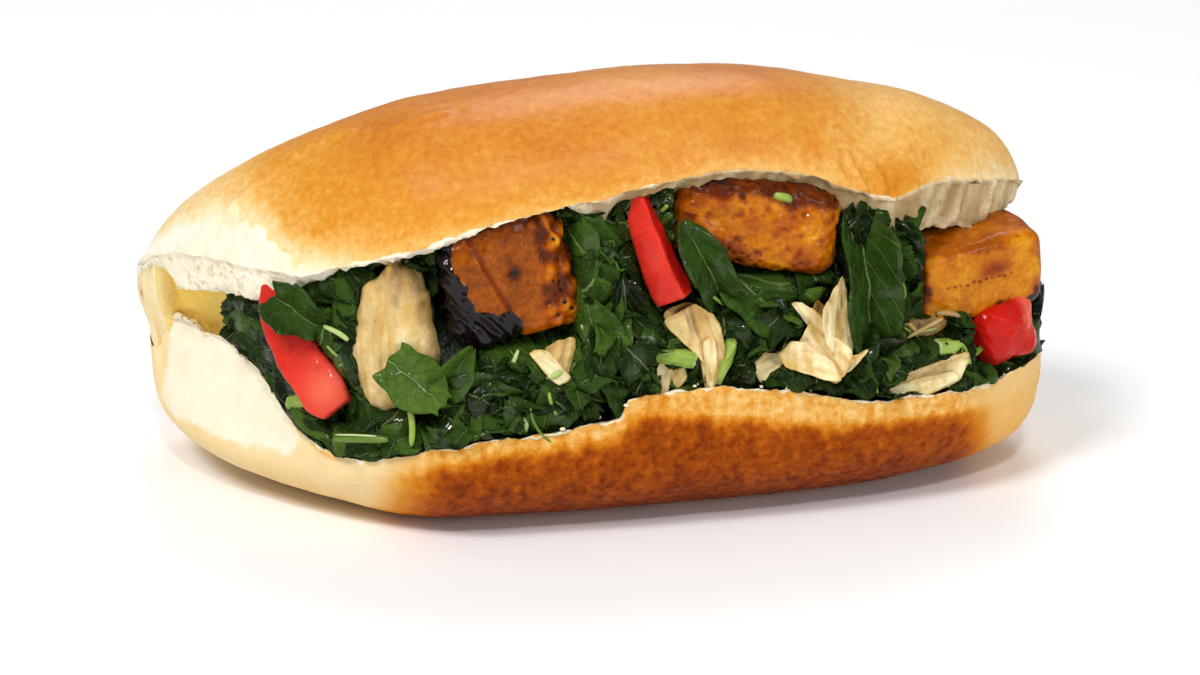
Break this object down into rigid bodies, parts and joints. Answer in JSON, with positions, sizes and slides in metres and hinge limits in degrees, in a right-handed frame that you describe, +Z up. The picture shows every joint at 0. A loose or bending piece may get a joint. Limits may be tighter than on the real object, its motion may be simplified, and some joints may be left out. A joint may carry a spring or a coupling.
{
  "type": "callaloo and saltfish sandwich",
  "caption": "Soft long roll hinged along its back and open in front, filled with chopped callaloo leaves, fried plantain chunks, red pepper strips and flaked saltfish.",
  "frame": {"origin": "middle of the footprint, on the surface that the roll rests on", "axes": "+X along the roll, +Y towards the hinge at its back, +Z up; the open side faces -Y"},
  "size_m": [0.1742, 0.0916, 0.0824],
  "materials": {
    "crust": "baked bread crust, satin golden brown, with pale torn crumb at the lips",
    "callaloo": "wet cooked dark green leaves",
    "plantain": "fried, golden orange with brown spots, slightly oily",
    "pepper": "glossy red skin with paler flesh",
    "saltfish": "flaked cooked fish, cream with brown seams, moist",
    "stalk": "cooked pale green stalk, moist"
  },
  "bodies": {
    "root": {"bun": "crust", "callaloo": "callaloo", "plantain_left": "plantain", "plantain_middle": "plantain", "plantain_right": "plantain", "pepper_left": "pepper", "pepper_middle": "pepper", "pepper_right": "pepper", "saltfish_left": "saltfish", "saltfish_wedge": "saltfish", "saltfish_drape": "saltfish", "saltfish_shred": "saltfish", "saltfish_right": "saltfish", "saltfish_under": "saltfish", "saltfish_chip": "saltfish", "stalk_left": "stalk", "stalk_middle": "stalk", "stalk_upright": "stalk", "stalk_right": "stalk"}
  },
  "joints": []
}
